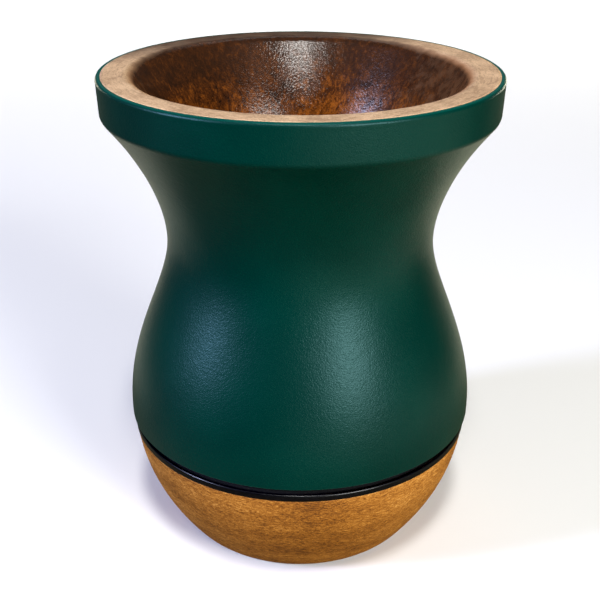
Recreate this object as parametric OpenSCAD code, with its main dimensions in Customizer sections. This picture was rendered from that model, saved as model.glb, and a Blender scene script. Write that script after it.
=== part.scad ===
// Mate cup: one turned wooden gourd, a leather cover over its collar, neck and belly,
// and a black ring set between the cover and the bare wooden base. Millimetres.
// The cup stands on the plane z = 0, and the Z axis is its turning axis.

/* [Overall] */
// Height from the foot to the rim
cup_h = 106.3; // [92:0.1:130]
// Diameter of the mouth over the leather
mouth_d = 84; // [78:0.5:100]
// Diameter of the neck over the leather
neck_d = 58.4; // [50:0.2:64]
// Diameter of the belly over the leather
belly_d = 78.2; // [68:0.2:94]
// Diameter of the flat foot
foot_d = 49.2; // [40:0.2:56]

/* [Outline] */
// Height of the narrowest line of the neck
neck_z = 70.4; // [60:0.2:78]
// Height of the widest line of the belly
belly_z = 30.8; // [27:0.2:38]
// Slope of the cone under the collar, in degrees from upright
cone_tilt = 40; // [25:1:50]
// Slope of the base where it meets the foot, in degrees from upright
foot_tilt = 37; // [20:1:55]
// Radius of the rounded edge round the foot
foot_edge_r = 4.6; // [2:0.1:7]

/* [Leather cover] */
// Thickness of the leather
cover_t = 1; // [0.6:0.05:1.3]
// How far the leather stands proud of the bare wood
cover_proud = 0.45; // [0.1:0.05:0.6]
// Height of the upright collar at the mouth
collar_h = 7.7; // [5:0.1:11]
// How much the collar's radius shrinks from top to bottom
collar_taper = 0.35; // [0:0.05:1]
// Radius of the wood's edge under the collar
crease_r = 1.4; // [1.3:0.1:3]
// Radius of the leather's top outer edge
cover_edge_r = 0.7; // [0.2:0.05:0.9]
// Height of the leather's lower edge
cover_bottom_z = 29; // [24:0.1:32]

/* [Black ring] */
// Height of the recessed upper part of the ring
groove_h = 1.7; // [1:0.1:2.5]
// Height of the lip
lip_h = 1.4; // [0.8:0.1:2.5]
// Depth of the channel that the ring is set in
ring_seat = 2.4; // [1.6:0.1:3]
// How far the recessed part stays below the wood's surface
groove_recess = 1.2; // [0.4:0.1:1.4]
// How far the lip stands proud of the wood's surface
lip_proud = 0.1; // [0:0.05:0.3]
// Radius of the lip's top edge
lip_edge_r = 0.4; // [0.1:0.05:0.7]

/* [Bowl] */
// Width of the flat rim, from the leather to the rounded inner edge
rim_w = 4.3; // [3:0.1:6]
// Radius of the rounded inner edge of the rim
rim_edge_r = 3; // [1:0.1:4]
// Slope of the funnel below the rim, in degrees from upright
funnel_tilt = 34; // [20:1:38]
// Thickness of the wooden wall at the neck
neck_wall = 6; // [3:0.1:8]
// Thickness of the wooden wall at the belly
belly_wall = 6.5; // [4:0.1:10]
// Height of the widest line of the bowl
bowl_z = 35; // [30:0.5:45]
// Thickness of the wooden floor on the axis
floor_t = 10; // [6:0.5:16]

/* [Fits] */
// Glue gap between the wood, the leather and the ring
glue_gap = 0.05; // [0.02:0.01:0.1]

/* [Hidden] */

curve_steps = 14;
edge_steps = 6;
$fn = 144;

// How far each curve pulls along its end directions, as shares of its span
CONE_PULL = [0.335, 0.31];
WAIST_PULL = [0.275, 0.425];
BASE_PULL = [0.32, 0.4];
FUNNEL_PULL = [0.56, 0.33];
BOWL_PULL = [0.3, 0.4];
FLOOR_PULL = [0.33, 0.45];

// Radii and heights of the bare wood's line, which the cover and the ring follow
mouth_r = mouth_d / 2 - cover_proud;
neck_r = neck_d / 2 - cover_proud;
belly_r = belly_d / 2 - cover_proud;
foot_r = foot_d / 2;
core_inset = cover_t - cover_proud + glue_gap;
ring_top_z = cover_bottom_z - glue_gap;
ring_bottom_z = ring_top_z - groove_h - lip_h;
wood_top_z = ring_bottom_z - glue_gap;

DOWN = [0, -1];
IN = [-1, 0];

// A unit direction that points down and in, tilted from upright by an angle
function slope(tilt) = [-sin(tilt), -cos(tilt)];

// The point at t on a cubic curve with the control points a, b, c and d
function cubic(a, b, c, d, t) =
    pow(1 - t, 3) * a + 3 * t * pow(1 - t, 2) * b + 3 * t * t * (1 - t) * c + pow(t, 3) * d;

// A curve that leaves a along from and reaches b along to, without the point a itself
function bend(a, from, b, to, pull) =
    let (span = norm(b - a))
    [for (i = [1:curve_steps]) cubic(a, a + pull[0] * span * from, b - pull[1] * span * to, b,
                                     i / curve_steps)];

// An arc round c, from one angle to another
function arc(c, r, from, to) =
    [for (i = [0:edge_steps]) let (a = from + (to - from) * i / edge_steps) c + r * [cos(a), sin(a)]];

function reversed(line) = [for (i = [len(line) - 1:-1:0]) line[i]];

// The radius of a line at the height z
function radius_at(line, z) = lookup(z, [for (p = line) [p.y, p.x]]);

// The stretches of a line above or below the height z, with the point at z itself
function above(line, z) = [each [for (p = line) if (p.y > z) p], [radius_at(line, z), z]];
function below(line, z) = [[radius_at(line, z), z], each [for (p = line) if (p.y < z) p]];

// A downward line moved outwards by d along its normals; its first point stays level
function moved(line, d) =
    [for (i = [0:len(line) - 1])
        let (along = i == 0 ? DOWN : line[min(i + 1, len(line) - 1)] - line[i - 1])
        line[i] + d * [-along.y, along.x] / norm(along)];

// The bare wood's line from the mouth down to the foot
function wood_line() =
    let (
        crease = [mouth_r - collar_taper, cup_h - collar_h],
        collar_tilt = atan2(collar_taper, collar_h),
        half_turn = (cone_tilt - collar_tilt) / 2,
        crease_start = crease - crease_r * tan(half_turn) * slope(collar_tilt),
        crease_centre = crease_start + crease_r * [-cos(collar_tilt), sin(collar_tilt)],
        crease_arc = arc(crease_centre, crease_r, -collar_tilt, -cone_tilt),
        crease_end = crease_arc[edge_steps],
        neck = [neck_r, neck_z],
        belly = [belly_r, belly_z],
        foot_arc = arc([foot_r, foot_edge_r], foot_edge_r, -foot_tilt, -90)
    )
    [
        [mouth_r, cup_h],
        each crease_arc,
        each bend(crease_end, slope(cone_tilt), neck, DOWN, CONE_PULL),
        each bend(neck, DOWN, belly, DOWN, WAIST_PULL),
        each bend(belly, DOWN, foot_arc[0], slope(foot_tilt), BASE_PULL),
        each [for (i = [1:edge_steps]) foot_arc[i]]
    ];

// The bowl's line from the flat rim down to the middle of the floor
function bowl_line() =
    let (
        edge_c = [mouth_r - core_inset - rim_w, cup_h - rim_edge_r],
        rim_arc = arc(edge_c, rim_edge_r, 90, 180 - funnel_tilt),
        throat = [neck_r - core_inset - neck_wall, neck_z],
        widest = [belly_r - belly_wall, bowl_z],
        middle = [0, floor_t]
    )
    [
        each rim_arc,
        each bend(rim_arc[edge_steps], slope(funnel_tilt), throat, DOWN, FUNNEL_PULL),
        each bend(throat, DOWN, widest, DOWN, BOWL_PULL),
        each bend(widest, DOWN, middle, IN, FLOOR_PULL)
    ];

// Turns an outline round the axis
module turned(outline) {
    rotate_extrude() polygon(outline);
}

// The gourd: collar, neck and belly turned down for the leather, a channel for the ring,
// a round base on a flat foot, and the bowl inside. One piece of wood.
module gourd() {
    line = wood_line();
    core = above(moved(line, -core_inset), ring_top_z);
    seat_r = radius_at(line, wood_top_z) - ring_seat;
    color("peru") turned([
        each core,
        [seat_r, ring_top_z],
        [seat_r, wood_top_z],
        each below(line, wood_top_z),
        [0, 0],
        each reversed(bowl_line())
    ]);
}

// The leather cover: an even skin over the wood, round at its top outer edge and cut
// square at its lower edge.
module cover() {
    line = wood_line();
    outside = above(moved(line, cover_proud), cover_bottom_z);
    inside = above(moved(line, cover_proud - cover_t), cover_bottom_z);
    top_edge_c = [outside[0].x - cover_edge_r, cup_h - cover_edge_r];
    color("darkslategray") turned([
        each arc(top_edge_c, cover_edge_r, 90, 0),
        each [for (i = [1:len(outside) - 1]) outside[i]],
        each reversed(inside)
    ]);
}

// The ring: a recessed upper part under the leather's edge and a lip with a round top
// edge above the bare wood.
module ring() {
    wood_r = radius_at(wood_line(), wood_top_z);
    inner_r = wood_r - ring_seat + glue_gap;
    groove_r = wood_r - groove_recess;
    lip_r = wood_r + lip_proud;
    lip_top_z = ring_bottom_z + lip_h;
    color("black") turned([
        [inner_r, ring_top_z - glue_gap],
        [inner_r, ring_bottom_z],
        [lip_r, ring_bottom_z],
        each arc([lip_r - lip_edge_r, lip_top_z - lip_edge_r], lip_edge_r, 0, 90),
        [groove_r, lip_top_z],
        [groove_r, ring_top_z - glue_gap]
    ]);
}

gourd();
cover();
ring();
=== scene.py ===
import math

import bpy
from mathutils import Matrix, Vector


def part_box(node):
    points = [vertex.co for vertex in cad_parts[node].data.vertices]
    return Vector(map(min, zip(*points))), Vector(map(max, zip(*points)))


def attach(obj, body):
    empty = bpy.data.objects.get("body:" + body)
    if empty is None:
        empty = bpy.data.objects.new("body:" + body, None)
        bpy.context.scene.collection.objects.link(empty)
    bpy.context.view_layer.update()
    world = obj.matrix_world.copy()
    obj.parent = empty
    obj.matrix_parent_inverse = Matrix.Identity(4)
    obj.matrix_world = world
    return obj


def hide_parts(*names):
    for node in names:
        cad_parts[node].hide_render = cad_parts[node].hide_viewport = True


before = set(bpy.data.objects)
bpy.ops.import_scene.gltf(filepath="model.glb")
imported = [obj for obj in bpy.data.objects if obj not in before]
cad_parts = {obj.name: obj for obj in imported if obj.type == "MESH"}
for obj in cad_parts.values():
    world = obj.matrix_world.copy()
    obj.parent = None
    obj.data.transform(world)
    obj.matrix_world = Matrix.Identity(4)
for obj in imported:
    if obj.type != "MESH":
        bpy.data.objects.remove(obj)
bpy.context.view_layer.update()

# the three turned pieces follow one line, the bare wood's, taken from the frame and these sizes
woodShape = {
    "proud": 0.00045,  # leather outside the bare wood
    "collarHeight": 0.0077,
    "collarTaper": 0.00035,
    "creaseRadius": 0.0014,
    "coneTilt": 40,
    "neckDiameter": 0.0584,  # over the leather, as is the belly
    "neckHeight": 0.0704,
    "bellyDiameter": 0.0782,
    "bellyHeight": 0.0308,
    "footTilt": 37,
    "footRadius": 0.0246,
    "footEdge": 0.0046,
    "conePull": (0.335, 0.31),
    "waistPull": (0.275, 0.425),
    "basePull": (0.32, 0.4),
    "bandSteps": 14,
    "creaseSteps": 12,
    "coneSteps": 44,
    "waistSteps": 60,
    "baseSteps": 60,
    "footSteps": 14,
}

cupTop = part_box("gourd")[1].z
mouthRadius = max(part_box("cover")[1][:2]) - woodShape["proud"]
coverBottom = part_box("cover")[0].z
ringBottom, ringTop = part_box("ring")[0].z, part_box("ring")[1].z

down, inward = Vector((0, -1)), Vector((-1, 0))


def slope(tilt):
    # downwards and inwards, tilt degrees from upright
    return Vector((-math.sin(math.radians(tilt)), -math.cos(math.radians(tilt))))


def arc(centre, radius, start, end, steps):
    turns = [math.radians(start + (end - start) * i / steps) for i in range(steps + 1)]
    return [Vector(centre) + radius * Vector((math.cos(a), math.sin(a))) for a in turns]


def bend(a, leaving, b, arriving, pull, steps):
    # a cubic curve from a to b, without a itself
    span = (b - a).length
    c, d = a + pull[0] * span * leaving, b - pull[1] * span * arriving
    line = []
    for i in range(1, steps + 1):
        t = i / steps
        s = 1 - t
        line.append(s**3 * a + 3 * s * s * t * c + 3 * s * t * t * d + t**3 * b)
    return line


def moved(line, distance):
    # a downward line pushed outwards; its first point stays level
    result = []
    for i, point in enumerate(line):
        along = down if i == 0 else line[min(i + 1, len(line) - 1)] - line[i - 1]
        result.append(point + distance * Vector((-along.y, along.x)).normalized())
    return result


def radiusAt(line, z):
    for upper, lower in zip(line, line[1:]):
        if upper.y >= z >= lower.y and upper.y > lower.y:
            return lower.x + (upper.x - lower.x) * (z - lower.y) / (upper.y - lower.y)
    return line[-1].x


def above(line, z):
    return [p for p in line if p.y > z] + [Vector((radiusAt(line, z), z))]


def below(line, z):
    return [Vector((radiusAt(line, z), z))] + [p for p in line if p.y < z]


def makeWoodLine(s):
    neck = Vector((s["neckDiameter"] / 2 - s["proud"], s["neckHeight"]))
    belly = Vector((s["bellyDiameter"] / 2 - s["proud"], s["bellyHeight"]))
    crease = Vector((mouthRadius - s["collarTaper"], cupTop - s["collarHeight"]))
    collarTilt = math.degrees(math.atan2(s["collarTaper"], s["collarHeight"]))
    reach = s["creaseRadius"] * math.tan(math.radians(s["coneTilt"] - collarTilt) / 2)
    start = crease - reach * slope(collarTilt)
    across = slope(collarTilt)
    centre = start + s["creaseRadius"] * Vector((across.y, -across.x))
    creaseArc = arc(centre, s["creaseRadius"], -collarTilt, -s["coneTilt"], s["creaseSteps"])
    footCentre = (s["footRadius"], s["footEdge"])
    footArc = arc(footCentre, s["footEdge"], -s["footTilt"], -90, s["footSteps"])
    top = Vector((mouthRadius, cupTop))
    band = [top.lerp(start, i / s["bandSteps"]) for i in range(s["bandSteps"])]
    return (
        band + creaseArc
        + bend(creaseArc[-1], slope(s["coneTilt"]), neck, down, s["conePull"], s["coneSteps"])
        + bend(neck, down, belly, down, s["waistPull"], s["waistSteps"])
        + bend(belly, down, footArc[0], slope(s["footTilt"]), s["basePull"], s["baseSteps"])
        + footArc[1:]
    )


woodLine = makeWoodLine(woodShape)
print("wood line:", len(woodLine), "points")


# node helpers
def addNode(tree, kind, inputs=None, **settings):
    # a node with its options set, and its sockets filled or linked by name or number
    node = tree.nodes.new(kind)
    for name, value in settings.items():
        setattr(node, name, value)
    for name, value in (inputs or {}).items():
        if isinstance(value, bpy.types.NodeSocket):
            tree.links.new(value, node.inputs[name])
        else:
            node.inputs[name].default_value = value
    return node


def calc(tree, operation, a, b=0.0, c=0.0):
    node = addNode(tree, "ShaderNodeMath", {0: a, 1: b, 2: c}, operation=operation)
    return node.outputs[0]


# one tree turns any outline round the axis and gives it the slight unevenness of handwork
def makeTurningTree():
    tree = bpy.data.node_groups.new("turnedPiece", "GeometryNodeTree")
    face = tree.interface
    for name, kind in (
        ("Outline", "Geometry"), ("Steps Around", "Int"), ("Unevenness", "Float"), ("Patch Size", "Float"),
        ("Tool Marks", "Float"), ("Mark Size", "Float"), ("Seed", "Float"), ("Finish", "Material"),
    ):
        face.new_socket(name, in_out="INPUT", socket_type="NodeSocket" + kind)
    face.new_socket("Piece", in_out="OUTPUT", socket_type="NodeSocketGeometry")
    given = tree.nodes.new("NodeGroupInput").outputs

    count = addNode(tree, "GeometryNodeAttributeDomainSize", {0: given["Outline"]}).outputs[0]
    rowLength = calc(tree, "ADD", given["Steps Around"], 1.0)
    grid = addNode(tree, "GeometryNodeMeshGrid", {"Vertices X": count, "Vertices Y": rowLength})
    index = tree.nodes.new("GeometryNodeInputIndex").outputs[0]
    along = calc(tree, "FLOOR", calc(tree, "DIVIDE", calc(tree, "ADD", index, 0.5), rowLength))
    around = calc(tree, "SUBTRACT", index, calc(tree, "MULTIPLY", along, rowLength))
    stepTurn = calc(tree, "DIVIDE", 2 * math.pi, given["Steps Around"])
    turn = calc(tree, "MULTIPLY", around, stepTurn)

    # every row of the grid takes its radius and height from one point of the outline
    place = tree.nodes.new("GeometryNodeInputPosition").outputs[0]
    taken = addNode(tree, "GeometryNodeSampleIndex", data_type="FLOAT_VECTOR")
    tree.links.new(given["Outline"], taken.inputs["Geometry"])
    tree.links.new(place, taken.inputs["Value"])
    tree.links.new(along, taken.inputs["Index"])
    profile = addNode(tree, "ShaderNodeSeparateXYZ", {0: taken.outputs[0]})
    spot = addNode(tree, "ShaderNodeCombineXYZ", {
        0: calc(tree, "MULTIPLY", profile.outputs["X"], calc(tree, "COSINE", turn)),
        1: calc(tree, "MULTIPLY", profile.outputs["X"], calc(tree, "SINE", turn)),
        2: profile.outputs["Z"],
    })
    shape = addNode(tree, "GeometryNodeSetPosition", {
        "Geometry": grid.outputs[0], "Position": spot.outputs[0],
    })

    # the outline's marks ride along: how much relief, and which finish
    stored = shape.outputs[0]
    marks = {}
    for mark in ("relief", "tooled", "finish"):
        named = addNode(tree, "GeometryNodeInputNamedAttribute", {"Name": mark}, data_type="FLOAT")
        sample = addNode(tree, "GeometryNodeSampleIndex", data_type="FLOAT")
        tree.links.new(given["Outline"], sample.inputs["Geometry"])
        tree.links.new(named.outputs[0], sample.inputs["Value"])
        tree.links.new(along, sample.inputs["Index"])
        store = addNode(tree, "GeometryNodeStoreNamedAttribute", {"Geometry": stored, "Name": mark},
                        data_type="FLOAT", domain="POINT")
        tree.links.new(sample.outputs[0], store.inputs["Value"])
        stored = store.outputs[0]
        kept = addNode(tree, "GeometryNodeInputNamedAttribute", {"Name": mark}, data_type="FLOAT")
        marks[mark] = kept.outputs[0]
    closed = addNode(tree, "GeometryNodeMergeByDistance", {"Geometry": stored, "Distance": 1e-6})

    # broad unevenness and small tool marks, both along the normals
    normal = tree.nodes.new("GeometryNodeInputNormal").outputs[0]

    def waves(patchSize, amount, detail):
        bumps = addNode(tree, "ShaderNodeTexNoise", {
            "Vector": place, "W": given["Seed"], "Detail": detail,
            "Scale": calc(tree, "DIVIDE", 1.0, given[patchSize]),
        }, noise_dimensions="4D")
        return calc(tree, "MULTIPLY", calc(tree, "SUBTRACT", bumps.outputs[0], 0.5), given[amount])

    broadPush = calc(tree, "MULTIPLY", waves("Patch Size", "Unevenness", 1.0), marks["relief"])
    smallPush = calc(tree, "MULTIPLY", waves("Mark Size", "Tool Marks", 2.0), marks["tooled"])
    push = calc(tree, "ADD", broadPush, smallPush)
    offset = addNode(tree, "ShaderNodeVectorMath", {0: normal, "Scale": push}, operation="SCALE")
    uneven = addNode(tree, "GeometryNodeSetPosition", {
        "Geometry": closed.outputs[0], "Offset": offset.outputs[0],
    })
    smooth = addNode(tree, "GeometryNodeSetShadeSmooth", {"Geometry": uneven.outputs[0]})
    real = addNode(tree, "GeometryNodeRealizeInstances", {"Geometry": smooth.outputs[0]})
    finished = addNode(tree, "GeometryNodeSetMaterial", {
        "Geometry": real.outputs[0], "Material": given["Finish"],
    })
    out = tree.nodes.new("NodeGroupOutput")
    tree.links.new(finished.outputs[0], out.inputs[0])
    return tree


turningTree = makeTurningTree()


def turnPiece(name, outline, values, material):
    # outline: rows of (point, relief, tooled, finish), in the order that turns the faces outwards
    mesh = bpy.data.meshes.new(name)
    mesh.from_pydata([(row[0].x, 0, row[0].y) for row in outline], [], [])
    for column, mark in enumerate(("relief", "tooled", "finish"), start=1):
        layer = mesh.attributes.new(mark, "FLOAT", "POINT")
        layer.data.foreach_set("value", [float(row[column]) for row in outline])
    blank = bpy.data.objects.new(name + "Outline", mesh)
    bpy.context.scene.collection.objects.link(blank)
    lathe = blank.modifiers.new("turning", "NODES")
    lathe.node_group = turningTree
    for item in turningTree.interface.items_tree:
        if item.in_out == "INPUT" and item.name in values:
            lathe[item.identifier] = values[item.name]
        if item.name == "Finish":
            lathe[item.identifier] = material
    turned = blank.evaluated_get(bpy.context.evaluated_depsgraph_get())
    solid = bpy.data.meshes.new_from_object(turned)
    bpy.data.objects.remove(blank)
    piece = bpy.data.objects.new(name, solid)
    solid.name = name
    bpy.context.scene.collection.objects.link(piece)
    print(name, "turned:", len(solid.vertices), "vertices,", len(solid.polygons), "faces")
    return piece


# shader helpers
def newMaterial(name):
    material = bpy.data.materials.new(name)
    material.use_nodes = True
    tree = material.node_tree
    tree.nodes.clear()
    shader = tree.nodes.new("ShaderNodeBsdfPrincipled")
    out = tree.nodes.new("ShaderNodeOutputMaterial")
    tree.links.new(shader.outputs[0], out.inputs[0])
    return material, tree, shader


def objectPlace(tree, stretch=(1, 1, 1)):
    place = tree.nodes.new("ShaderNodeTexCoord").outputs["Object"]
    return addNode(tree, "ShaderNodeMapping", {"Vector": place, "Scale": stretch}).outputs[0]


def noise(tree, vector, size, detail=2.0, rough=0.5, warp=0.0):
    # size is the patch size in metres
    node = addNode(tree, "ShaderNodeTexNoise", {
        "Vector": vector, "Scale": 1 / size, "Detail": detail, "Roughness": rough, "Distortion": warp,
    })
    return node.outputs[0]


def wavering(tree, place, scale, distance, detail):
    # places pushed about by a soft noise, for a pattern that isn't straight
    drift = addNode(tree, "ShaderNodeTexNoise", {"Vector": place, "Scale": scale, "Detail": detail})
    node = addNode(tree, "ShaderNodeVectorMath", {
        0: drift.outputs["Color"], 1: (distance,) * 3, 2: place,
    }, operation="MULTIPLY_ADD")
    return node.outputs[0]


def distanceAlong(tree, place, direction):
    node = addNode(tree, "ShaderNodeVectorMath", {0: place, 1: direction}, operation="DOT_PRODUCT")
    return node.outputs["Value"]


def ramp(tree, value, stops, tones):
    node = addNode(tree, "ShaderNodeValToRGB", {0: value})
    elements = node.color_ramp.elements
    while len(elements) < len(stops):
        elements.new(0.5)
    for element, stop, tone in zip(elements, stops, tones):
        element.position = stop
        element.color = tone
    return node.outputs[0]


def fade(tree, value, low, high, start=0.0, end=1.0):
    node = addNode(tree, "ShaderNodeMapRange", {
        "Value": value, "From Min": low, "From Max": high, "To Min": start, "To Max": end,
    }, interpolation_type="SMOOTHSTEP")
    return node.outputs[0]


def mix(tree, share, a, b):
    return addNode(tree, "ShaderNodeMix", {0: share, 6: a, 7: b}, data_type="RGBA").outputs[2]


def mixValue(tree, share, a, b):
    return addNode(tree, "ShaderNodeMix", {0: share, 2: a, 3: b}, data_type="FLOAT").outputs[0]


def colour(r, g, b):
    # screen colour to the linear one that the shaders use
    shares = [c / 255 for c in (r, g, b)]
    return tuple(c / 12.92 if c <= 10 / 255 else ((c + 0.055) / 1.055) ** 2.4 for c in shares) + (1,)


def markOf(tree, name):
    return addNode(tree, "ShaderNodeAttribute", attribute_name=name).outputs["Fac"]


def addBump(tree, shader, height, strength, distance):
    bump = addNode(tree, "ShaderNodeBump", {"Height": height, "Strength": strength, "Distance": distance})
    tree.links.new(bump.outputs[0], shader.inputs["Normal"])


# wood: one material for the pale rim, the honey base and the stained bowl
woodLook = {
    "rimPale": colour(216, 181, 141),
    "rimDark": colour(160, 128, 96),
    "rimPore": colour(112, 84, 60),
    "honeyPale": colour(190, 126, 50),
    "honeyMid": colour(150, 91, 27),
    "honeyDark": colour(90, 50, 15),
    # painted light: the paler tone of the lit side of the base
    "honeyLitSide": colour(228, 166, 88),
    "stainPale": colour(138, 76, 24),
    "stainMid": colour(72, 37, 14),
    "stainDark": colour(30, 17, 10),
    "stainTop": colour(44, 28, 19),
    "smudge": colour(112, 90, 70),
    "turned": colour(176, 122, 76),
    "shine": (1.0, 0.97, 0.93, 1),
    "honeyStops": (0.39, 0.5, 0.6, 0.7),
    "rimStops": (0.43, 0.55),
    "stainStops": (0.4, 0.5, 0.62),
    "cloudSize": 0.009,
    "softSize": 0.0025,
    "fineSize": 0.0003,
    "dashSize": 0.00026,
    "dashLay": (0.24, 0.24, 1),  # longer round the cup than up it
    "bandSize": 0.0042,
    "swayScale": 260.0,
    "swayBy": 0.0022,
    "curlSize": 0.0008,
    "lineSize": 0.0004,
    "lineLay": 0.16,
    "streakSize": 0.0009,
    "streakLay": (1, 1, 0.28),
    "blotchSize": 0.007,
    "pebbleSize": 0.00045,
    "poreShare": 0.5,
    "stainAcrossBack": 0.8,
    "bareRough": (0.72, 0.58),
    "bowlRough": (0.2, 0.15),
    "bowlSideDull": 0.06,
    "specular": 0.34,
    "bareBump": 0.6,
    "bowlBump": 0.5,
    "bumpDepth": 0.00015,
}


def makeWood(look):
    material, tree, shader = newMaterial("turnedWood")
    finish = markOf(tree, "finish")  # 0 bare base, 1 rim, 2 stained bowl
    place = objectPlace(tree)
    height = addNode(tree, "ShaderNodeSeparateXYZ", {0: place}).outputs["Z"]
    clouds = noise(tree, place, look["cloudSize"], 3, 0.55, 0.4)
    soft = noise(tree, place, look["softSize"], 3, 0.6, 0.3)
    fine = noise(tree, place, look["fineSize"], 2, 0.6)

    # base: short dashes that lie round the cup, on soft bands, with painted light that makes it paler
    # towards the right and a little paler at the left
    swayed = wavering(tree, place, look["swayScale"], look["swayBy"], 1.0)
    laid = addNode(tree, "ShaderNodeMapping", {"Vector": swayed, "Scale": look["dashLay"]}).outputs[0]
    dashes = noise(tree, laid, look["dashSize"], 3, 0.6, 0.3)
    bands = noise(tree, laid, look["bandSize"], 2, 0.55, 0.2)
    body = calc(tree, "MULTIPLY_ADD", dashes, 0.5, calc(tree, "MULTIPLY", bands, 0.24))
    body = calc(tree, "MULTIPLY_ADD", fine, 0.26, body)
    # painted light: these two steps lighten the base towards the right, where the lamps fall, and a little
    # at the left
    litSideways = distanceAlong(tree, place, (1.0, -0.2, 0.0))
    body = calc(tree, "ADD", body, fade(tree, litSideways, 0.006, 0.032, 0.0, 0.065))
    body = calc(tree, "ADD", body, fade(tree, litSideways, -0.02, 0.016, 0.036, -0.015))
    honey = ramp(tree, body, look["honeyStops"],
                 (look["honeyDark"], look["honeyMid"], look["honeyPale"], look["honeyLitSide"]))

    # rim: short curls, and fine lines that run round
    curls = noise(tree, place, look["curlSize"], 3, 0.7, 1.4)
    flat = addNode(tree, "ShaderNodeVectorMath", {0: place, 1: (1, 1, 0)}, operation="MULTIPLY").outputs[0]
    radius = addNode(tree, "ShaderNodeVectorMath", {0: flat}, operation="LENGTH").outputs["Value"]
    drawnOut = addNode(tree, "ShaderNodeVectorMath", {0: flat, "Scale": look["lineLay"]}, operation="SCALE")
    parts = addNode(tree, "ShaderNodeSeparateXYZ", {0: drawnOut.outputs[0]}).outputs
    rings = addNode(tree, "ShaderNodeCombineXYZ", {0: radius, 1: parts["X"], 2: parts["Y"]}).outputs[0]
    lines = noise(tree, rings, look["lineSize"], 3, 0.65, 0.2)
    rimTone = calc(tree, "MULTIPLY_ADD", curls, 0.25, calc(tree, "MULTIPLY", clouds, 0.25))
    rimTone = calc(tree, "MULTIPLY_ADD", lines, 0.35, rimTone)
    rimTone = calc(tree, "MULTIPLY_ADD", fine, 0.15, rimTone)
    rim = ramp(tree, rimTone, look["rimStops"], (look["rimDark"], look["rimPale"]))
    dots = calc(tree, "MULTIPLY_ADD", lines, 0.5, calc(tree, "MULTIPLY", fine, 0.5))
    dots = fade(tree, dots, 0.54, 0.64)
    rim = mix(tree, calc(tree, "MULTIPLY", dots, look["poreShare"]), rim, look["rimPore"])

    # bowl: stain that has taken unevenly, darker near the mouth
    streaks = noise(tree, objectPlace(tree, look["streakLay"]), look["streakSize"], 4, 0.7, 0.5)
    blotches = noise(tree, place, look["blotchSize"], 3, 0.6, 0.5)
    took = calc(tree, "MULTIPLY_ADD", streaks, 0.45, calc(tree, "MULTIPLY", blotches, 0.3))
    took = calc(tree, "MULTIPLY_ADD", fine, 0.25, took)
    took = calc(tree, "ADD", took, fade(tree, height, cupTop - 0.018, cupTop - 0.006, 0.03, -0.02))
    stain = ramp(tree, took, look["stainStops"],
                 (look["stainDark"], look["stainMid"], look["stainPale"]))
    nearMouth = fade(tree, height, cupTop - 0.015, cupTop - 0.003, 0.0, 0.7)
    stain = mix(tree, nearMouth, stain, look["stainTop"])

    # the bowl's dark tone reaches further over the rim towards the back
    across = distanceAlong(tree, place, (-0.3, 1.0, 0.0))
    back = fade(tree, across, 0.004, 0.042, 0.0, look["stainAcrossBack"])
    edge = calc(tree, "MULTIPLY_ADD", calc(tree, "SUBTRACT", soft, 0.5), 0.5, finish)
    onRim = fade(tree, edge, 0.3, 0.7)
    edge = calc(tree, "ADD", edge, back)
    smudged = fade(tree, edge, 1.05, 1.8)
    inBowl = fade(tree, edge, 1.4, 2.15)
    tone = mix(tree, onRim, honey, rim)
    smudge = mix(tree, fade(tree, across, -0.02, 0.03), look["turned"], look["smudge"])
    tone = mix(tree, calc(tree, "MULTIPLY", smudged, onRim), tone, smudge)
    tone = mix(tree, calc(tree, "MULTIPLY", inBowl, onRim), tone, stain)
    tree.links.new(tone, shader.inputs["Base Color"])

    # the stain dried a little duller towards the sides of the bowl
    roughBare = mixValue(tree, dashes, *look["bareRough"])
    dull = fade(tree, calc(tree, "ABSOLUTE", parts["X"]), 0.0009, 0.0018, 0.0, look["bowlSideDull"])
    roughBowl = calc(tree, "ADD", mixValue(tree, soft, *look["bowlRough"]), dull)
    tree.links.new(mixValue(tree, inBowl, roughBare, roughBowl), shader.inputs["Roughness"])
    shader.inputs["Specular IOR Level"].default_value = look["specular"]
    shader.inputs["Specular Tint"].default_value = look["shine"]

    grain = mixValue(tree, onRim, dashes, fine)
    pebbles = noise(tree, place, look["pebbleSize"], 2, 0.6, 0.2)
    relief = mixValue(tree, inBowl, grain, pebbles)
    strength = mixValue(tree, inBowl, look["bareBump"], look["bowlBump"])
    addBump(tree, shader, relief, strength, look["bumpDepth"])
    return material


# leather: fine pores and small creases; the cut edges are paler, partly the raw edge's own colour and
# partly a painted highlight
leatherLook = {
    "green": colour(2, 43, 36),
    "deep": colour(2, 38, 32),
    "cutEdgeGlint": colour(4, 84, 74),
    "patchSize": 0.02,
    "poreSize": 0.0005,
    "pebbleSize": 0.0004,
    "creaseSize": 0.0013,
    "driftScale": 900.0,
    "driftBy": 0.0005,
    "foldShare": 0.16,
    "creaseShare": 0.5,
    "pebbleShare": 0.52,
    "bump": 0.8,
    "bumpDepth": 0.00008,
    "rough": (0.42, 0.32),
    "specular": 0.25,
    "shine": (0.52, 1.0, 1.03, 1),
    "sheen": 0.02,
    "sheenRough": 0.35,
    "bloom": (1.0, 0.9, 0.4, 1),
}


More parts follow.
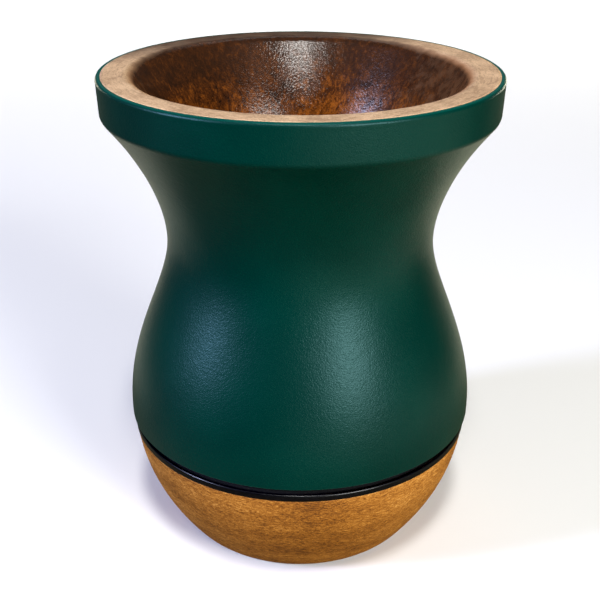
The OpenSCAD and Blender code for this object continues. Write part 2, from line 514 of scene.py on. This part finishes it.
def makeLeather(look):
    material, tree, shader = newMaterial("greenLeather")
    place = objectPlace(tree)
    # the finish mark places the paler cut edge, which is partly a painted highlight
    cut = markOf(tree, "finish")
    patches = noise(tree, place, look["patchSize"], 2, 0.5)
    base = mix(tree, fade(tree, patches, 0.3, 0.7), look["deep"], look["green"])
    base = mix(tree, cut, base, look["cutEdgeGlint"])
    tree.links.new(base, shader.inputs["Base Color"])

    # pores: cells between fine folds, drawn out by a little noise
    drifted = wavering(tree, place, look["driftScale"], look["driftBy"], 2.0)
    cells = addNode(tree, "ShaderNodeTexVoronoi", {"Vector": drifted, "Scale": 1 / look["poreSize"]},
                    feature="DISTANCE_TO_EDGE").outputs["Distance"]
    folds = fade(tree, cells, 0.0, 0.25)
    creases = noise(tree, place, look["creaseSize"], 3, 0.55, 0.6)
    pebbles = noise(tree, drifted, look["pebbleSize"], 2, 0.5)
    height = calc(tree, "MULTIPLY", creases, look["creaseShare"])
    height = calc(tree, "MULTIPLY_ADD", folds, look["foldShare"], height)
    height = calc(tree, "MULTIPLY_ADD", pebbles, look["pebbleShare"], height)
    addBump(tree, shader, height, look["bump"], look["bumpDepth"])
    tree.links.new(mixValue(tree, pebbles, *look["rough"]), shader.inputs["Roughness"])
    shader.inputs["Specular IOR Level"].default_value = look["specular"]
    shader.inputs["Specular Tint"].default_value = look["shine"]
    shader.inputs["Sheen Weight"].default_value = look["sheen"]
    shader.inputs["Sheen Roughness"].default_value = look["sheenRough"]
    shader.inputs["Sheen Tint"].default_value = look["bloom"]
    return material


# black ring: glossy lip, dull groove
blackLook = {
    "black": colour(4, 4, 8),
    "worn": colour(14, 13, 18),
    "grainSize": 0.0004,
    "bump": 0.1,
    "bumpDepth": 0.00008,
    "lipRough": 0.28,
    "grooveRough": 0.9,
    "specular": 0.3,
}


def makeBlack(look):
    material, tree, shader = newMaterial("blackEdge")
    grain = noise(tree, objectPlace(tree), look["grainSize"], 3, 0.6)
    tone = mix(tree, fade(tree, grain, 0.45, 0.7), look["black"], look["worn"])
    tree.links.new(tone, shader.inputs["Base Color"])
    addBump(tree, shader, grain, look["bump"], look["bumpDepth"])
    rough = mixValue(tree, markOf(tree, "finish"), look["lipRough"], look["grooveRough"])
    tree.links.new(rough, shader.inputs["Roughness"])
    shader.inputs["Specular IOR Level"].default_value = look["specular"]
    return material


# gourd: bowl from the floor up, rounded rim, then down outside to the foot
gourdShape = {
    "coreInset": 0.0006,
    "rimWidth": 0.0043,
    "rimEdge": 0.003,
    "funnelTilt": 34,
    "neckWall": 0.006,
    "bellyWall": 0.0065,
    "bowlHeight": 0.035,
    "floorThickness": 0.01,
    "ringSeat": 0.0024,
    "funnelPull": (0.56, 0.33),
    "bowlPull": (0.3, 0.4),
    "floorPull": (0.33, 0.45),
    "rimSteps": 18,
    "funnelSteps": 46,
    "bellySteps": 34,
    "floorSteps": 34,
    "values": {"Steps Around": 300, "Unevenness": 0.00012, "Patch Size": 0.016,
               "Tool Marks": 0.00016, "Mark Size": 0.0035, "Seed": 4.0},
}


def buildGourd(s):
    edgeCentre = Vector((mouthRadius - s["coreInset"] - s["rimWidth"], cupTop - s["rimEdge"]))
    rimArc = arc(edgeCentre, s["rimEdge"], 90, 180 - s["funnelTilt"], s["rimSteps"])
    neckRadius = woodShape["neckDiameter"] / 2 - woodShape["proud"]
    bellyRadius = woodShape["bellyDiameter"] / 2 - woodShape["proud"]
    throat = Vector((neckRadius - s["coreInset"] - s["neckWall"], woodShape["neckHeight"]))
    widest = Vector((bellyRadius - s["bellyWall"], s["bowlHeight"]))
    middle = Vector((0, s["floorThickness"]))
    bowl = (
        bend(rimArc[-1], slope(s["funnelTilt"]), throat, down, s["funnelPull"], s["funnelSteps"])
        + bend(throat, down, widest, down, s["bowlPull"], s["bellySteps"])
        + bend(widest, down, middle, inward, s["floorPull"], s["floorSteps"])
    )
    rows = [(p, 1, 1, 2) for p in reversed(bowl)]
    turnOver = [(p, 1, i / s["rimSteps"], 1 + i / s["rimSteps"]) for i, p in enumerate(rimArc)]
    rows += reversed(turnOver)
    core = above(moved(woodLine, -s["coreInset"]), ringTop)
    flat = [rimArc[0].lerp(core[0], i / 8) for i in range(1, 8)]
    rows += [(p, 0.4, 0, 1) for p in flat]
    rows += [(p, 0, 0, 1) for p in core[::3] + [core[-1]]]
    seat = radiusAt(woodLine, ringBottom) - s["ringSeat"]
    rows += [(Vector((seat, z)), 0, 0, 0) for z in (ringTop, ringBottom)]
    base = below(woodLine, ringBottom)
    rows += [(p, min(1, i / 6), 0.2, 0) for i, p in enumerate(base[:-8])]
    rows += [(p, 0, 0, 0) for p in base[-8:]]
    rows += [(Vector((base[-1].x * (1 - i / 6), 0)), 0, 0, 0) for i in range(1, 7)]
    return turnPiece("gourdWood", rows, s["values"], makeWood(woodLook))


# cover: an even skin with a round top edge, which is cut; the cut edges are paler, partly their own colour
# and partly a painted highlight
coverShape = {
    "thickness": 0.001,
    "topEdge": 0.0007,
    "lowEdge": 0.0002,
    "values": {"Steps Around": 360, "Unevenness": 0.00016, "Patch Size": 0.013,
               "Tool Marks": 0.0, "Mark Size": 0.004, "Seed": 11.0},
}


def buildCover(s):
    outside = above(moved(woodLine, woodShape["proud"]), coverBottom + s["lowEdge"])
    inside = above(moved(woodLine, woodShape["proud"] - s["thickness"]), coverBottom)
    topEdge = arc((outside[0].x - s["topEdge"], cupTop - s["topEdge"]), s["topEdge"], 90, 0, 10)
    face = [p for p in outside if p.y < cupTop - s["topEdge"]]
    lowEdge = arc((outside[-1].x - s["lowEdge"], coverBottom + s["lowEdge"]), s["lowEdge"], 0, -90, 4)
    rows = [(inside[0], 0, 0, 1)]
    # the finish mark gives the paler cut edge, partly painted highlight: fading down the top edge, and 0.6
    # along the lower edge
    rows += [(p, i / 12, 0, 1 - i / 6 if i < 6 else 0) for i, p in enumerate(topEdge)]
    rows += [(p, 1, 0, 0) for p in face]
    rows += [(p, 1, 0, 0.6) for p in lowEdge[1:]]
    rows += [(p, 0, 0, 0) for p in [inside[-1]] + list(reversed(inside))[1::3]]
    rows += [rows[0]]
    return turnPiece("leatherCover", rows, s["values"], makeLeather(leatherLook))


# ring: a lip just outside the wood, and a groove above it
ringShape = {
    "lipHeight": 0.0014,
    "lipProud": 0.0001,
    "lipEdge": 0.0004,
    "recess": 0.0012,
    "seat": 0.0024,
    "values": {"Steps Around": 360, "Unevenness": 0.00006, "Patch Size": 0.009,
               "Tool Marks": 0.0, "Mark Size": 0.002, "Seed": 2.0},
}


def buildRing(s):
    woodRadius = radiusAt(woodLine, ringBottom)
    lip, groove, seat = woodRadius + s["lipProud"], woodRadius - s["recess"], woodRadius - s["seat"]
    lipTop = ringBottom + s["lipHeight"]
    edge = arc((lip - s["lipEdge"], lipTop - s["lipEdge"]), s["lipEdge"], 90, 0, 8)
    rows = [(Vector((groove, ringTop)), 0, 0, 1), (Vector((groove, lipTop)), 0, 0, 1)]
    rows += [(edge[0].lerp(rows[1][0], 0.5), 1, 0, 1)]
    rows += [(p, 1, 0, 0) for p in edge]
    rows += [(Vector((lip, ringBottom + s["lipHeight"] * i / 6)), 1, 0, 0) for i in range(3, -1, -1)]
    rows += [(Vector((seat, ringBottom)), 0, 0, 0), (Vector((seat, ringTop)), 0, 0, 0)]
    rows += [rows[0]]
    return turnPiece("blackRing", rows, s["values"], makeBlack(blackLook))


for node, piece, slotName in (
    ("gourd", buildGourd(gourdShape), "wood"),
    ("cover", buildCover(coverShape), "leather"),
    ("ring", buildRing(ringShape), "black_ring"),
):
    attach(piece, "root")
    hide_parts(node)
print("pieces in place")

# studio: pale table whose colour towards the cup holds painted light and shade, soft boxes in front of the
# cup and low ones behind
studio = {
    "floorSize": 4.0,
    "floorColour": (0.87, 0.865, 0.84, 1),
    "leftBounce": (0.1, 0.1, 0.065, 1),  # painted light: what the floor throws back at the cup, given as its colour to all but camera rays
    "rightBounce": (0.56, 0.56, 0.38, 1),
    "footShadowBounce": (0.17, 0.155, 0.09, 1),
    "backBounce": (0.92, 0.88, 0.6, 1),
    "darkBounce": (0.05, 0.05, 0.03, 1),
    "nearCup": (0.08, 0.15),  # distances in metres over which one bounce gives way to the next
    "leftToRight": (-0.08, 0.06),
    "frontToBack": (-0.01, 0.05),
    "backEnds": (0.42, 0.28),
    "backSides": (0.18, 0.09),
    "worldColour": (1.0, 1.0, 1.0, 1),
    "worldStrength": 0.05,
    "boxes": {
        "leftBox": {
            "place": (-0.81, -0.31, 0.41), "size": (0.14, 0.28), "power": 10.2, "tint": (0.61, 0.66, 1.0),
        },
        "rightBox": {
            "place": (0.48, -0.68, 0.37), "size": (0.31, 0.43), "power": 9.4, "tint": (1.0, 1.0, 1.0),
        },
        "topBox": {
            "place": (0.01, -0.45, 0.95), "size": (0.11, 0.24), "power": 5.8, "tint": (1.0, 0.99, 0.98),
        },
        "backLeftBox": {
            "place": (-0.42, 0.74, 0.04), "size": (0.3, 0.1), "power": 0.7, "tint": (1.0, 0.95, 0.7),
        },
        "backRightBox": {
            "place": (0.46, 0.72, 0.04), "size": (0.3, 0.1), "power": 1.1, "tint": (1.0, 0.97, 0.75),
        },
        "farBox": {
            "place": (0.0, 1.1, 1.0), "size": (1.6, 0.8), "power": 7.0, "tint": (1.0, 1.0, 1.0),
            "aim": (0, 1.0, 0), "spread": 80,
        },
    },
}


def buildFloor(s):
    half = s["floorSize"] / 2
    corners = [(-half, -half, 0), (half, -half, 0), (half, half, 0), (-half, half, 0)]
    mesh = bpy.data.meshes.new("tableTop")
    mesh.from_pydata(corners, [], [(0, 1, 2, 3)])
    floor = bpy.data.objects.new("tableTop", mesh)
    bpy.context.scene.collection.objects.link(floor)
    material, tree, shader = newMaterial("paleTable")
    place = objectPlace(tree)
    parts = addNode(tree, "ShaderNodeSeparateXYZ", {0: place}).outputs
    distance = addNode(tree, "ShaderNodeVectorMath", {0: place}, operation="LENGTH").outputs["Value"]
    # painted light and shade: to all but camera rays the table is a painted shadow near the cup, a brighter
    # pool to the right front and a warm pool behind, dark further off; the camera sees the even pale colour
    away = fade(tree, distance, *s["nearCup"])
    front = mix(tree, fade(tree, parts["X"], *s["leftToRight"]), s["leftBounce"], s["rightBounce"])
    front = mix(tree, away, s["footShadowBounce"], front)
    lit = calc(tree, "MULTIPLY", away, fade(tree, distance, *s["backEnds"]))
    lit = calc(tree, "MULTIPLY", lit, fade(tree, calc(tree, "ABSOLUTE", parts["X"]), *s["backSides"]))
    back = mix(tree, lit, s["darkBounce"], s["backBounce"])
    bounce = mix(tree, fade(tree, parts["Y"], *s["frontToBack"]), front, back)
    direct = tree.nodes.new("ShaderNodeLightPath").outputs["Is Camera Ray"]
    tree.links.new(mix(tree, direct, bounce, s["floorColour"]), shader.inputs["Base Color"])
    shader.inputs["Roughness"].default_value = 1.0
    shader.inputs["Specular IOR Level"].default_value = 0.0
    mesh.materials.append(material)


def softBox(name, box):
    light = bpy.data.lights.new(name, "AREA")
    light.shape = "RECTANGLE"
    light.size, light.size_y = box["size"]
    light.energy = box["power"]
    light.color = box["tint"]
    light.spread = math.radians(box.get("spread", 180))
    lamp = bpy.data.objects.new(name, light)
    lamp.location = box["place"]
    aim = Vector(box.get("aim", (0, 0, cupTop / 2)))
    lamp.rotation_euler = (aim - lamp.location).to_track_quat("-Z", "Y").to_euler()
    lamp.visible_camera = False
    bpy.context.scene.collection.objects.link(lamp)


buildFloor(studio)
for boxName, box in studio["boxes"].items():
    softBox(boxName, box)

world = bpy.data.worlds.new("studioAir")
world.use_nodes = True
air = world.node_tree.nodes["Background"]
air.inputs["Color"].default_value = studio["worldColour"]
air.inputs["Strength"].default_value = studio["worldStrength"]
bpy.context.scene.world = world

# camera in front of the cup, looking down into the mouth
view = {
    "back": 0.2167,
    "overRim": 0.0482,
    "pitch": 24.94,
    "roll": 0.18,
    "lens": 63.0,
    "sensor": 36,
    "sees": (0.01, 20),
    "blackLevel": 0.004,
}
eye = bpy.data.cameras.new("eye")
eye.lens = view["lens"]
eye.sensor_width = view["sensor"]
eye.clip_start, eye.clip_end = view["sees"]
eyeStand = bpy.data.objects.new("eye", eye)
eyeStand.location = (0, -view["back"], cupTop + view["overRim"])
tilt = Matrix.Rotation(math.radians(90 - view["pitch"]), 3, "X")
eyeStand.rotation_euler = (tilt @ Matrix.Rotation(math.radians(view["roll"]), 3, "Z")).to_euler()
bpy.context.scene.collection.objects.link(eyeStand)
bpy.context.scene.camera = eyeStand
film = bpy.context.scene.view_settings
film.view_transform = "Standard"
film.use_curve_mapping = True
film.curve_mapping.black_level = (view["blackLevel"],) * 3
film.curve_mapping.update()
print("studio ready")
